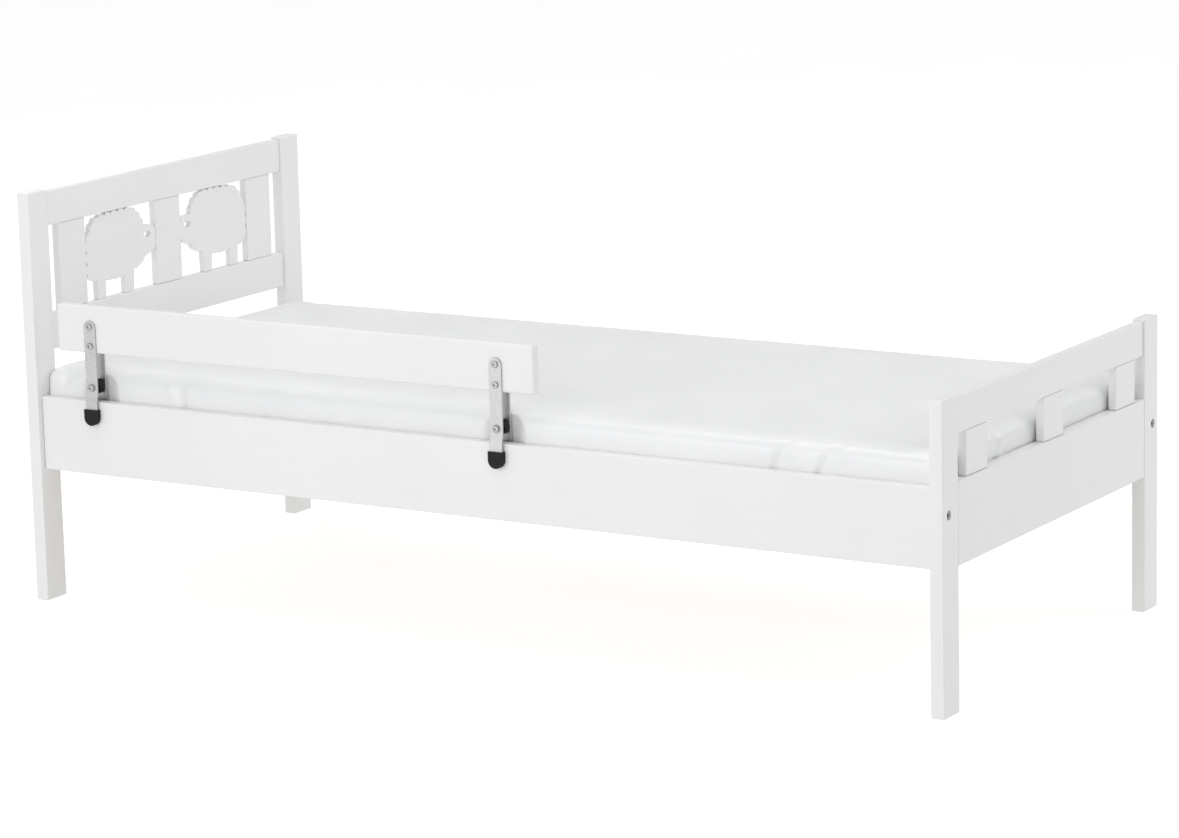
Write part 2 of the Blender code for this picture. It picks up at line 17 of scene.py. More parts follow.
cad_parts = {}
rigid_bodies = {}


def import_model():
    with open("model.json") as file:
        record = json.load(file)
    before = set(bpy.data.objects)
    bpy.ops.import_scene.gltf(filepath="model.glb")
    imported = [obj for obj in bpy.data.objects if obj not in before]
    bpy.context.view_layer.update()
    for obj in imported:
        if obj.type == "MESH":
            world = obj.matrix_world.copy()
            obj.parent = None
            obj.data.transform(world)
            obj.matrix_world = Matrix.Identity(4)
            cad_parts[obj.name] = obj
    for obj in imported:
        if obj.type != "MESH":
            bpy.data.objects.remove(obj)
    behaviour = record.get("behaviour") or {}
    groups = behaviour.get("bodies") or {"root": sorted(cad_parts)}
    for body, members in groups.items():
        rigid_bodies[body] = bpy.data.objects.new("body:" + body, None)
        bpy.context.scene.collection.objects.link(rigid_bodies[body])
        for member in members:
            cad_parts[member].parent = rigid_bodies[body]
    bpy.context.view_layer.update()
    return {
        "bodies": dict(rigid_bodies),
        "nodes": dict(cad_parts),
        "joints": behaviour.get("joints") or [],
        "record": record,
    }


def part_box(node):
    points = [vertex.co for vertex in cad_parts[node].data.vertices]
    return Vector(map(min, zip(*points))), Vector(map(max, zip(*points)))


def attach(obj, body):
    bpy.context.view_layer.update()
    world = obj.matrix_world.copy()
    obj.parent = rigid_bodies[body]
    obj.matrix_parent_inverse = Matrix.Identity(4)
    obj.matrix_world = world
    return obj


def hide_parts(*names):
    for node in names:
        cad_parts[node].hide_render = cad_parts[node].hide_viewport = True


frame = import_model()
NODES = frame["nodes"]
SIDES = {"near": -1, "far": 1}


# Camera and light

CAMERA_PLACE = (3.4819, -5.6642, 1.6621)
CAMERA_AZIMUTH = 31.502
CAMERA_PITCH = 11.572
CAMERA_ROLL = 1.400
CAMERA_LENS = 130.09
SENSOR_WIDTH = 36.0

LIGHT_TARGET = Vector((0, 0, 0.3))
SKY_COLOUR = (0.985, 0.992, 1.0, 1.0)
SKY_ABOVE = 0.58
SKY_BELOW = 0.82

# Each softbox: name, direction from the target, distance, size and power
SOFTBOXES = [
    ("front_left_light", (-0.30, -0.92, 0.22), 3.2, 1.5, 14.8),
    ("front_right_light", (0.25, -0.94, 0.24), 3.2, 1.5, 14.8),
    ("back_right_light", (0.72, 0.50, 0.48), 5.5, 2.4, 60.0),
    ("back_left_light", (-0.80, 0.45, 0.40), 5.5, 2.4, 30.0),
    ("top_light", (-0.10, -0.10, 0.98), 4.5, 2.8, 68.0),
]


def add_camera():
    """A long lens with no shift, at the photograph's viewing angle."""
    azimuth, pitch, roll = (math.radians(a) for a in (CAMERA_AZIMUTH, CAMERA_PITCH, CAMERA_ROLL))
    level = Vector((-math.sin(azimuth), math.cos(azimuth), 0))
    right = Vector((math.cos(azimuth), math.sin(azimuth), 0))
    up = Vector((0, 0, 1)) * math.cos(pitch) + level * math.sin(pitch)
    forward = level * math.cos(pitch) - Vector((0, 0, 1)) * math.sin(pitch)
    across = right * math.cos(roll) - up * math.sin(roll)
    upwards = right * math.sin(roll) + up * math.cos(roll)
    data = bpy.data.cameras.new("camera")
    data.sensor_width = SENSOR_WIDTH
    data.lens = CAMERA_LENS
    data.clip_end = 200.0
    camera = bpy.data.objects.new("camera", data)
    turn = Matrix((across, upwards, -forward)).transposed()
    camera.matrix_world = Matrix.Translation(CAMERA_PLACE) @ turn.to_4x4()
    bpy.context.scene.collection.objects.link(camera)
    bpy.context.scene.camera = camera


def add_softbox(name, direction, distance, size, power):
    """A square area light that shines at the target from the given direction."""
    data = bpy.data.lights.new(name, "AREA")
    data.shape = "SQUARE"
    data.size = size
    data.energy = power
    lamp = bpy.data.objects.new(name, data)
    towards = Vector(direction).normalized()
    lamp.location = LIGHT_TARGET + towards * distance
    lamp.rotation_mode = "QUATERNION"
    lamp.rotation_quaternion = towards.to_track_quat("Z", "Y")
    bpy.context.scene.collection.objects.link(lamp)


def add_sky():
    """Even light of one strength from above the horizon and of another from below it."""
    world = bpy.data.worlds.new("studio")
    world.use_nodes = True
    tree = world.node_tree
    background = tree.nodes["Background"]
    background.inputs["Color"].default_value = SKY_COLOUR
    direction = put(tree, "TexCoord").outputs["Generated"]
    height = put(tree, "SeparateXYZ", {"Vector": direction}).outputs["Z"]
    upper = calculate(tree, "GREATER_THAN", height, 0.0)
    strength = calculate(tree, "MULTIPLY_ADD", upper, SKY_ABOVE - SKY_BELOW, SKY_BELOW)
    tree.links.new(strength, background.inputs["Strength"])
    bpy.context.scene.world = world


# Materials. Object coordinates are metres in the frame, so a pattern keeps its real size.

LACQUER_DARK = (0.802, 0.804, 0.793)
LACQUER_LIGHT = (0.826, 0.827, 0.818)
# The lighter colour painted on the lacquer's rounded edges: a painted highlight.
LACQUER_EDGE_HIGHLIGHT = (0.87, 0.868, 0.855, 1.0)
BIRCH_RINGS = (
    (0.34, (0.60, 0.42, 0.25)),
    (0.46, (0.72, 0.55, 0.36)),
    (0.58, (0.79, 0.64, 0.45)),
    (0.70, (0.70, 0.53, 0.34)),
)
BIRCH_PORE = (0.42, 0.28, 0.16, 1.0)
PLASTIC_DARK = (0.005, 0.005, 0.0055)
PLASTIC_LIGHT = (0.020, 0.020, 0.021)
TICKING_DARK = (0.785, 0.788, 0.793)
TICKING_LIGHT = (0.825, 0.827, 0.831)
TICKING_THREAD = 0.0011
FLOOR_DARK = (0.35, 0.35, 0.35)
FLOOR_LIGHT = (0.37, 0.37, 0.37)
FLOOR_GLOW = 0.77

# Each metal: material name, colour, roughness, brushed axis and mottle
STEEL = ("steel_brushed", (0.53, 0.53, 0.535), 0.42, "Z", 0.12)
ZINC = ("zinc_plated", (0.47, 0.47, 0.475), 0.50, "X", 0.10)
STAPLE_WIRE = ("staple_wire", (0.50, 0.50, 0.50), 0.32, "Y", 0.08)
SLIDER_PLATE = ("zip_slider_plate", (0.62, 0.62, 0.63), 0.34, "Z", 0.08)

# Each tape: material name, dark colour, light colour and pitch of the weave
SEAM_TAPE = ("seam_tape", (0.66, 0.67, 0.69), (0.80, 0.80, 0.81), 0.0016)
ZIP_TAPE = ("zip_tape", (0.70, 0.71, 0.72), (0.82, 0.82, 0.83), 0.0011)
ZIP_COIL = ("zip_coil", (0.72, 0.72, 0.72), (0.84, 0.84, 0.84), 0.0009)
STRAP_WEBBING = ("strap_webbing", (0.50, 0.50, 0.48), (0.66, 0.66, 0.63), 0.0022)


def new_material(name):
    material = bpy.data.materials.new(name)
    material.use_nodes = True
    return material, material.node_tree, material.node_tree.nodes["Principled BSDF"]


def put(tree, kind, inputs=None, **settings):
    """Add a shader node; an input is a value or another node's output socket."""
    made = tree.nodes.new("ShaderNode" + kind)
    for key, value in settings.items():
        setattr(made, key, value)
    for key, value in (inputs or {}).items():
        if isinstance(value, bpy.types.NodeSocket):
            tree.links.new(value, made.inputs[key])
        else:
            made.inputs[key].default_value = value
    return made


def feed(tree, shader, **links):
    """Link sockets to the shader's inputs, named with underscores for spaces."""
    for key, socket in links.items():
        tree.links.new(socket, shader.inputs[key.replace("_", " ")])


def place_in(tree):
    return put(tree, "TexCoord").outputs["Object"]


def noise(tree, where, scale, detail=2.0, roughness=0.5, distortion=0.0):
    inputs = {"Vector": where, "Scale": scale, "Detail": detail, "Roughness": roughness,
              "Distortion": distortion}
    return put(tree, "TexNoise", inputs).outputs["Fac"]


def stretched(tree, where, axis, along):
    """Coordinates in which a pattern is drawn out along one axis."""
    scale = [1.0, 1.0, 1.0]
    scale["XYZ".index(axis)] = along
    return put(tree, "Mapping", {"Vector": where, "Scale": scale}).outputs["Vector"]


def spread(tree, value, low, high, start=0.3, end=0.7):
    """Map a pattern's usual range onto the range wanted."""
    inputs = {"Value": value, "From Min": start, "From Max": end, "To Min": low, "To Max": high}
    return put(tree, "MapRange", inputs).outputs["Result"]


def calculate(tree, operation, first, second=0.0, third=0.0):
    return put(tree, "Math", {0: first, 1: second, 2: third}, operation=operation).outputs[0]


def tint(tree, factor, *stops):
    """Colours along a factor, as (position, colour) pairs."""
    ramp = put(tree, "ValToRGB", {"Fac": factor})
    elements = ramp.color_ramp.elements
    while len(elements) < len(stops):
        elements.new(0.5)
    for element, (position, colour) in zip(elements, stops):
        element.position = position
        element.color = (*colour, 1.0)
    return ramp.outputs["Color"]


def mix(tree, factor, first, second):
    """One colour where the factor is 0 and the other where it is 1."""
    inputs = {0: factor, 6: first, 7: second}
    return put(tree, "Mix", inputs, data_type="RGBA").outputs[2]


def bump(tree, height, strength, distance, normal=None):
    inputs = {"Height": height, "Strength": strength, "Distance": distance}
    if normal is not None:
        inputs["Normal"] = normal
    return put(tree, "Bump", inputs).outputs["Normal"]


def rounded_edge_mask(tree, radius):
    """Near 1 on corners tighter than the radius, and 0 on flat ground."""
    soft = put(tree, "Bevel", {"Radius": radius}, samples=4).outputs["Normal"]
    true = put(tree, "NewGeometry").outputs["True Normal"]
    facing = put(tree, "VectorMath", {0: soft, 1: true}, operation="DOT_PRODUCT").outputs["Value"]
    return spread(tree, facing, 1.0, 0.0, 0.82, 0.99)


def lacquer(axis):
    """Satin white lacquer on boards whose grain runs along the axis and still shows faintly."""
    material, tree, shader = new_material("lacquer_" + axis.lower())
    where = place_in(tree)
    grain = noise(tree, stretched(tree, where, axis, 0.05), 160.0, 4.0, 0.62)
    peel = noise(tree, where, 620.0, 1.0)
    cloudy = noise(tree, where, 5.0, 3.0)
    # The lacquer's colour is painted lighter on rounded edges, a painted highlight; the edges' added
    # roughness stands for wear.
    edge_mask = rounded_edge_mask(tree, 0.0022)
    tone = calculate(tree, "MULTIPLY_ADD", grain, 0.35, calculate(tree, "MULTIPLY", cloudy, 0.65))
    colour = tint(tree, tone, (0.35, LACQUER_DARK), (0.65, LACQUER_LIGHT))
    mixed = mix(tree, calculate(tree, "MULTIPLY", edge_mask, 0.55), colour, LACQUER_EDGE_HIGHLIGHT)
    rough = calculate(tree, "ADD", spread(tree, cloudy, 0.30, 0.40), calculate(tree, "MULTIPLY", edge_mask, 0.08))
    coarse = bump(tree, grain, 0.14, 0.00030)
    feed(tree, shader, Base_Color=mixed, Roughness=rough,
         Normal=bump(tree, peel, 0.12, 0.00012, coarse))
    shader.inputs["Coat Weight"].default_value = 0.12
    shader.inputs["Coat Roughness"].default_value = 0.16
    return material


def birch(axis):
    """Planed, untreated birch with its grain along the axis."""
    material, tree, shader = new_material("birch_" + axis.lower())
    where = place_in(tree)
    drawn = stretched(tree, where, axis, 0.07)
    rings = noise(tree, drawn, 34.0, 5.0, 0.58, 1.6)
    pores = noise(tree, stretched(tree, where, axis, 0.02), 900.0, 2.0, 0.7)
    blotch = noise(tree, where, 3.5, 2.0)
    tone = calculate(tree, "MULTIPLY_ADD", rings, 0.7, calculate(tree, "MULTIPLY", blotch, 0.3))
    colour = tint(tree, tone, *BIRCH_RINGS)
    streak = mix(tree, spread(tree, pores, 0.45, 0.0, 0.30, 0.42), colour, BIRCH_PORE)
    height = calculate(tree, "MULTIPLY_ADD", pores, 0.6, calculate(tree, "MULTIPLY", rings, 0.4))
    feed(tree, shader, Base_Color=streak, Roughness=spread(tree, rings, 0.50, 0.66),
         Normal=bump(tree, height, 0.35, 0.0004))
    return material


def metal(name, colour, roughness, axis, mottle):
    """Plated steel, brushed along the axis, with a faint mottle in the plating."""
    material, tree, shader = new_material(name)
    where = place_in(tree)
    brushed = noise(tree, stretched(tree, where, axis, 0.04), 2600.0, 3.0, 0.6)
    patches = noise(tree, where, 260.0, 3.0, 0.55)
    tone = calculate(tree, "MULTIPLY_ADD", brushed, 0.5, calculate(tree, "MULTIPLY", patches, 0.5))
    dark = tuple(c * (1 - mottle) for c in colour)
    light = tuple(min(1.0, c * (1 + mottle)) for c in colour)
    feed(tree, shader, Base_Color=tint(tree, tone, (0.35, dark), (0.65, light)),
         Roughness=spread(tree, tone, roughness - 0.07, roughness + 0.09),
         Normal=bump(tree, brushed, 0.22, 0.00010))
    shader.inputs["Metallic"].default_value = 1.0
    return material


def moulded_plastic():
    """Black plastic with a fine spark-eroded grain."""
    material, tree, shader = new_material("black_plastic_grained")
    where = place_in(tree)
    grain = noise(tree, where, 1500.0, 3.0, 0.7)
    edge_mask = rounded_edge_mask(tree, 0.0012)
    tone = calculate(tree, "MULTIPLY_ADD", grain, 0.6, calculate(tree, "MULTIPLY", edge_mask, 0.4))
    colour = tint(tree, tone, (0.20, PLASTIC_DARK), (0.80, PLASTIC_LIGHT))
    feed(tree, shader, Base_Color=colour, Roughness=spread(tree, grain, 0.40, 0.56),
         Normal=bump(tree, grain, 0.30, 0.00015))
    shader.inputs["Specular IOR Level"].default_value = 0.22
    return material


def threads(tree, where, pitch):
    """A woven height pattern with threads of one pitch along all three axes."""
    parts = put(tree, "SeparateXYZ", {"Vector": where}).outputs
    waves = [calculate(tree, "SINE", calculate(tree, "MULTIPLY", part, 2 * math.pi / pitch))
             for part in parts]
    total = calculate(tree, "ADD", calculate(tree, "ADD", waves[0], waves[1]), waves[2])
    return calculate(tree, "MULTIPLY_ADD", total, 1 / 6, 0.5)


def ticking():
    """White satin-weave mattress cover: fine threads, slubs and a soft sheen."""
    material, tree, shader = new_material("mattress_ticking")
    where = place_in(tree)
    weave = threads(tree, where, TICKING_THREAD)
    slub = noise(tree, stretched(tree, where, "X", 0.12), 420.0, 2.0, 0.6)
    soft = noise(tree, where, 9.0, 3.0, 0.55)
    tone = calculate(tree, "MULTIPLY_ADD", slub, 0.45, calculate(tree, "MULTIPLY", soft, 0.55))
    colour = tint(tree, tone, (0.36, TICKING_DARK), (0.64, TICKING_LIGHT))
    height = calculate(tree, "MULTIPLY_ADD", weave, 0.6, calculate(tree, "MULTIPLY", slub, 0.4))
    feed(tree, shader, Base_Color=colour, Roughness=spread(tree, soft, 0.32, 0.42),
         Normal=bump(tree, height, 0.22, 0.0003))
    shader.inputs["Sheen Weight"].default_value = 0.25
    shader.inputs["Sheen Roughness"].default_value = 0.35
    shader.inputs["Specular IOR Level"].default_value = 0.75
    return material


def tape(name, dark, light, pitch):
    """Ribbed woven tape for straps, seams and zip tapes."""
    material, tree, shader = new_material(name)
    where = place_in(tree)
    weave = threads(tree, where, pitch)
    fluff = noise(tree, where, 700.0, 3.0, 0.6)
    tone = calculate(tree, "MULTIPLY_ADD", weave, 0.5, calculate(tree, "MULTIPLY", fluff, 0.5))
    feed(tree, shader, Base_Color=tint(tree, tone, (0.30, dark), (0.70, light)),
         Roughness=spread(tree, fluff, 0.62, 0.80), Normal=bump(tree, weave, 0.6, 0.0005))
    return material


def paper_floor():
    """A pale studio floor, lit a little from within so that it stays near white."""
    material, tree, shader = new_material("floor_paper")
    mottle = noise(tree, place_in(tree), 3.0, 4.0)
    feed(tree, shader, Base_Color=tint(tree, mottle, (0.3, FLOOR_DARK), (0.7, FLOOR_LIGHT)),
         Roughness=spread(tree, mottle, 0.85, 0.95))
    shader.inputs["Specular IOR Level"].default_value = 0.0
    shader.inputs["Emission Color"].default_value = (1.0, 1.0, 1.0, 1.0)
    shader.inputs["Emission Strength"].default_value = FLOOR_GLOW
    return material


# Smooth shading for the CAD nodes, which come in as loose triangles

MERGE_DISTANCE = 0.00002
SHARP_ANGLE = math.radians(50)
FLAT_ANGLE = math.radians(1)

# The width of the rounding on each kind of node whose sharp edges get one
EDGE_WIDTHS = {
    "sheep": 0.0011,
    "guard_outer_cap": 0.0010,
    "guard_inner_cap": 0.0010,
    "clamp_knob": 0.0032,
    "guard_outer_bar": 0.0004,
    "guard_inner_bar": 0.0004,
    "clamp_washer": 0.0002,
}


def rounding_group():
    """Join the loose triangles and smooth all edges but the sharp ones."""
    group = bpy.data.node_groups.new("smooth_by_angle", "GeometryNodeTree")
    group.interface.new_socket("Geometry", in_out="INPUT", socket_type="NodeSocketGeometry")
    group.interface.new_socket("Geometry", in_out="OUTPUT", socket_type="NodeSocketGeometry")
    first = group.nodes.new("NodeGroupInput")
    last = group.nodes.new("NodeGroupOutput")
    merge = group.nodes.new("GeometryNodeMergeByDistance")
    merge.inputs["Distance"].default_value = MERGE_DISTANCE
    angle = group.nodes.new("GeometryNodeInputMeshEdgeAngle")
    compare = group.nodes.new("FunctionNodeCompare")
    compare.inputs["B"].default_value = SHARP_ANGLE
    normals = group.nodes.new("GeometryNodeSetMeshNormal")
    normals.mode = "SHARPNESS"
    normals.inputs["Remove Custom"].default_value = True
    normals.inputs["Face Sharpness"].default_value = False
    group.links.new(first.outputs[0], merge.inputs["Geometry"])
    group.links.new(angle.outputs["Unsigned Angle"], compare.inputs["A"])
    group.links.new(merge.outputs[0], normals.inputs["Mesh"])
    group.links.new(compare.outputs[0], normals.inputs["Edge Sharpness"])
    group.links.new(normals.outputs[0], last.inputs[0])
    return group


def smooth_node(obj, group, edge):
    """Smooth a node, and round its sharp edges if it gets an edge width."""
    smooth = obj.modifiers.new("smooth", "NODES")
    smooth.node_group = group
    if edge:
        flat = obj.modifiers.new("flat_faces", "DECIMATE")
        flat.decimate_type = "DISSOLVE"
        flat.angle_limit = FLAT_ANGLE
        bevel = obj.modifiers.new("edges", "BEVEL")
        bevel.limit_method = "ANGLE"
        bevel.angle_limit = SHARP_ANGLE
        bevel.width = edge
        bevel.segments = 2
    weighted = obj.modifiers.new("weighted", "WEIGHTED_NORMAL")
    weighted.keep_sharp = True


def grain_axis(name):
    """The direction in which a lacquered board's grain runs."""
    if name.startswith("side_rail") or name == "guard_board":
        return "X"
    if name.endswith(("top_rail", "mid_rail", "base_board")):
        return "Y"
    return "Z"


def edge_width(name):
    widths = [width for part, width in EDGE_WIDTHS.items() if name.startswith(part)]
    return max(widths, default=0.0)


def finish_nodes():
    """Give every CAD node but the mattress its detailed material and smooth shading."""
    lacquers = {axis: lacquer(axis) for axis in "XYZ"}
    woods = {axis: birch(axis) for axis in "XY"}
    finishes = {
        "steel": metal(*STEEL),
        "zinc": metal(*ZINC),
        "black_plastic": moulded_plastic(),
    }
    group = rounding_group()
    for name, obj in NODES.items():
        kind = obj.material_slots[0].material.name
        if kind == "white_lacquer":
            finish = lacquers[grain_axis(name)]
        elif kind == "birch":
            finish = woods["Y" if name.startswith("bed_slat") else "X"]
        elif kind == "mattress_fabric":
            continue
        else:
            finish = finishes[kind]
        obj.material_slots[0].link = "OBJECT"
        obj.material_slots[0].material = finish
        smooth_node(obj, group, edge_width(name))


# Helpers for new pieces

def mesh_from(name, bm, smooth=True):
    mesh = bpy.data.meshes.new(name)
    bmesh.ops.recalc_face_normals(bm, faces=bm.faces)
    bm.to_mesh(mesh)
    bm.free()
    if smooth:
        mesh.shade_smooth()
        mesh.set_sharp_from_angle(angle=SHARP_ANGLE)
    return mesh


def add_piece(name, bm, material, body):
    """Turn a bmesh into a named piece that rides on a body."""
    mesh = mesh_from(name, bm)
    mesh.materials.append(material)
    obj = bpy.data.objects.new(name, mesh)
    bpy.context.scene.collection.objects.link(obj)
    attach(obj, body)
    return obj


def skin(bm, rings, closed=False):
    """Join rings of vertices with faces, with caps at the ends unless the last meets the first."""
    count = len(rings[0])
    pairs = list(zip(rings, rings[1:]))
    if closed:
        pairs.append((rings[-1], rings[0]))
    for first, second in pairs:
        for index in range(count):
            after = (index + 1) % count
            bm.faces.new((first[index], first[after], second[after], second[index]))
    if not closed:
        bm.faces.new(list(reversed(rings[0])))
        bm.faces.new(rings[-1])


def sweep(bm, frames, profile, closed=False):
    """Loft a closed profile through (point, across, up) frames."""
    rings = []
    for point, across, up in frames:
        rings.append([bm.verts.new(point + across * u + up * v) for u, v in profile])
    skin(bm, rings, closed)


def oval(half_wide, half_high, count, power=2.0):
    """A closed profile between an ellipse (power 2) and a rectangle (high power)."""
    points = []
    for index in range(count):
        angle = 2 * math.pi * (index + 0.5) / count
        cosine, sine = math.cos(angle), math.sin(angle)
        points.append((half_wide * math.copysign(abs(cosine) ** (2 / power), cosine),
                       half_high * math.copysign(abs(sine) ** (2 / power), sine)))
    return points


# Mattress

# The block that the cover starts from
START_INSET = 0.003
BOTTOM_GAP = 0.0005
BLOCK_RINGS = 41
TOP_EDGE = 0.018
BOTTOM_EDGE = 0.008
CORNER_RADIUS = 0.008
LEAST_RADIUS = 0.004
VOXEL = 0.006

# The cloth
CLOTH_FRAMES = 20
CLOTH_PRESSURE = 4.0
CLOTH_STRETCH = 25.0
CLOTH_SHEAR = 10.0
CLOTH_BENDING = 1.5
MOST_SWELL = 0.0040

# Where the cover's sides and ends stand from the bed's middle, and its ends in the windows
SIDE_REACH = 0.3466
END_REACH = 0.8030
WINDOW_REACH = 0.8050
WINDOW_BELOW = 0.001
WINDOW_ABOVE = 0.003

# How far the sides lean in at the top, the top crowns, and the whole cover undulates
SIDE_LEAN = 0.0040
CROWN = 0.0020
UNDULATION = 0.0005
WAVES_SEED = 11

# The dents at the guard's inner bars: half of the pressed width, its blend, and the gap left
BRACKET_HALF = 0.0135
BRACKET_BLEND = 0.028
BAR_CLEARANCE = 0.0010

# The rays that find the cover's surface for the seam and the zip
TURN_INSET = 0.055
RAY_START = 0.3

SEAM_HEIGHT = 0.0190
SEAM_SPACING = 0.008
SEAM_SINK = 0.0002


def coordinates(mesh):
    flat = np.zeros(len(mesh.vertices) * 3)
    mesh.vertices.foreach_get("co", flat)
    return flat.reshape(-1, 3)


def set_coordinates(mesh, points):
    mesh.vertices.foreach_set("co", points.astype(np.float32).ravel())
    mesh.update()


def vertex_normals(mesh):
    flat = np.zeros(len(mesh.vertices) * 3)
    mesh.vertices.foreach_get("normal", flat)
    return flat.reshape(-1, 3)


def evaluated_mesh(obj):
    """The object's mesh with its modifiers applied, as a new mesh."""
    graph = bpy.context.evaluated_depsgraph_get()
    return bpy.data.meshes.new_from_object(obj.evaluated_get(graph), depsgraph=graph)


def apply_modifiers(obj):
    made = evaluated_mesh(obj)
    obj.modifiers.clear()
    obj.data = made


def rounded_loop(low, high, inset, radius, height, bends=6):
    """Points round a rectangle with rounded corners, pulled in by the inset."""
    points = []
    radius = max(radius - 0.4 * inset, LEAST_RADIUS)
    for corner in range(4):
        x = high.x - inset - radius if corner in (0, 3) else low.x + inset + radius
        y = high.y - inset - radius if corner in (0, 1) else low.y + inset + radius
        for step in range(bends + 1):
            angle = (corner + step / bends) * math.pi / 2
            points.append((x + radius * math.cos(angle), y + radius * math.sin(angle), height))
    return points


def edge_inset(height, low, high):
    """How far the block's side lies in at a height, where its upper and lower edges are round."""
    for rim, radius in ((high, TOP_EDGE), (low, BOTTOM_EDGE)):
        depth = radius - abs(rim - height)
        if depth > 0:
            return radius - math.sqrt(max(radius ** 2 - depth ** 2, 0.0))
    return 0.0


def foam_block():
    """A rounded block a little smaller than the CAD mattress, remeshed evenly."""
    low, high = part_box("mattress")
    low.y, high.y = -SIDE_REACH, SIDE_REACH
    low = low + Vector((START_INSET, START_INSET, BOTTOM_GAP))
    high = high - Vector((START_INSET, START_INSET, START_INSET))
    bm = bmesh.new()
    rings = []
    for height in np.linspace(low.z, high.z, BLOCK_RINGS):
        inset = edge_inset(height, low.z, high.z)
        loop = rounded_loop(low, high, inset, CORNER_RADIUS, height)
        rings.append([bm.verts.new(point) for point in loop])
    skin(bm, rings)
    mesh = bpy.data.meshes.new("mattress_cover")
    bm.to_mesh(mesh)
    bm.free()
    obj = bpy.data.objects.new("mattress_cover", mesh)
    bpy.context.scene.collection.objects.link(obj)
    remesh = obj.modifiers.new("remesh", "REMESH")
    remesh.mode = "VOXEL"
    remesh.voxel_size = VOXEL
    apply_modifiers(obj)
    return obj


def inflate(obj):
    """Let cloth under pressure fill the cover, with no point moving further than the cap."""
    start = coordinates(obj.data)
    cloth = obj.modifiers.new("cloth", "CLOTH")
    cloth.settings.use_pressure = True
    cloth.settings.uniform_pressure_force = CLOTH_PRESSURE
    cloth.settings.effector_weights.gravity = 0.0
    cloth.settings.tension_stiffness = CLOTH_STRETCH
    cloth.settings.compression_stiffness = CLOTH_STRETCH
    cloth.settings.shear_stiffness = CLOTH_SHEAR
    cloth.settings.bending_stiffness = CLOTH_BENDING
    cloth.point_cache.frame_end = CLOTH_FRAMES
    scene = bpy.context.scene
    for number in range(1, CLOTH_FRAMES + 1):
        scene.frame_set(number)
    swollen = evaluated_mesh(obj)
    moved = coordinates(swollen) - start
    obj.modifiers.clear()
    scene.frame_set(1)
    length = np.linalg.norm(moved, axis=1)
    factor = np.minimum(1.0, MOST_SWELL / np.maximum(length, 1e-9))
    set_coordinates(obj.data, start + moved * factor[:, None])


def subdivide(obj):
    obj.modifiers.new("subdivision", "SUBSURF").levels = 1
    apply_modifiers(obj)


def smoothstep(value, start, end):
    share = np.clip((value - start) / (end - start), 0.0, 1.0)
    return share * share * (3 - 2 * share)


# Creases in the cover: the side they are on, where they start at the upper edge and
# end at the lower edge as X or Y, how deep and how wide they are
CREASES = [
    ("near", -0.545, -0.520, 0.0030, 0.0100),
    ("near", 0.560, 0.510, 0.0034, 0.0090),
    ("near", 0.640, 0.575, 0.0034, 0.0090),
    ("near", -0.762, -0.786, 0.0024, 0.0080),
    ("far", -0.410, -0.440, 0.0026, 0.0100),
    ("far", 0.180, 0.215, 0.0026, 0.0090),
    ("far", 0.690, 0.655, 0.0030, 0.0090),
    ("foot", -0.150, -0.175, 0.0022, 0.0090),
    ("foot", 0.245, 0.270, 0.0026, 0.0090),
    ("head", 0.090, 0.060, 0.0026, 0.0090),
]
OUTWARDS = {"near": (1, -1), "far": (1, 1), "head": (0, -1), "foot": (0, 1)}


def crease_depths(points, normals, low, high):
    """How far each point of the cover lies below the smooth surface, in metres."""
    total = np.zeros(len(points))
    height = (points[:, 2] - low[2]) / (high[2] - low[2])
    for side, top, bottom, depth, width in CREASES:
        axis, sign = OUTWARDS[side]
        along = points[:, 1 - axis]
        line = bottom + (top - bottom) * height
        offset = (along - line) / width
        facing = np.clip(normals[:, axis] * sign, 0.0, 1.0)
        reach = smoothstep(height, 0.04, 0.22) * (1 - smoothstep(height, 0.86, 1.02))
        groove = np.exp(-offset ** 2)
        ridges = np.exp(-(offset - 1.9) ** 2) + 0.6 * np.exp(-(offset + 1.9) ** 2)
        total += depth * facing * reach * (groove - 0.5 * ridges)
    return total


def waves(points, seed):
    """Slow undulation from a few seeded sine waves, between about -1 and 1."""
    chance = random.Random(seed)
    total = np.zeros(len(points))
    for _ in range(7):
        turn = chance.uniform(0, 2 * math.pi)
        pitch = chance.uniform(0.10, 0.34)
        phase = chance.uniform(0, 2 * math.pi)
        across = points[:, 0] * math.cos(turn) + (points[:, 1] + 0.7 * points[:, 2]) * math.sin(turn)
        total += np.sin(2 * math.pi * across / pitch + phase)
    return total / 4.5


def dent_at_brackets(points):
    """Press the near side back behind the guard's inner bars, from the bottom to the top edge."""
    for name in ("guard_inner_cap_left", "guard_inner_cap_right"):
        low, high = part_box(name)
        away = np.abs(points[:, 0] - (low.x + high.x) / 2)
        limit = smoothstep(away, BRACKET_HALF, BRACKET_HALF + BRACKET_BLEND)
        nearest = high.y + BAR_CLEARANCE + (-SIDE_REACH - high.y - BAR_CLEARANCE) * limit
        points[:, 1] = np.maximum(points[:, 1], nearest)


def fill_bed(points, normals):
    """Stretch the cover level until its sides and ends stand where the bed holds them."""
    for axis, reach in ((0, END_REACH), (1, SIDE_REACH)):
        facing = np.abs(normals[:, axis]) > 0.95
        points[:, axis] *= reach / np.median(np.abs(points[facing, axis]))


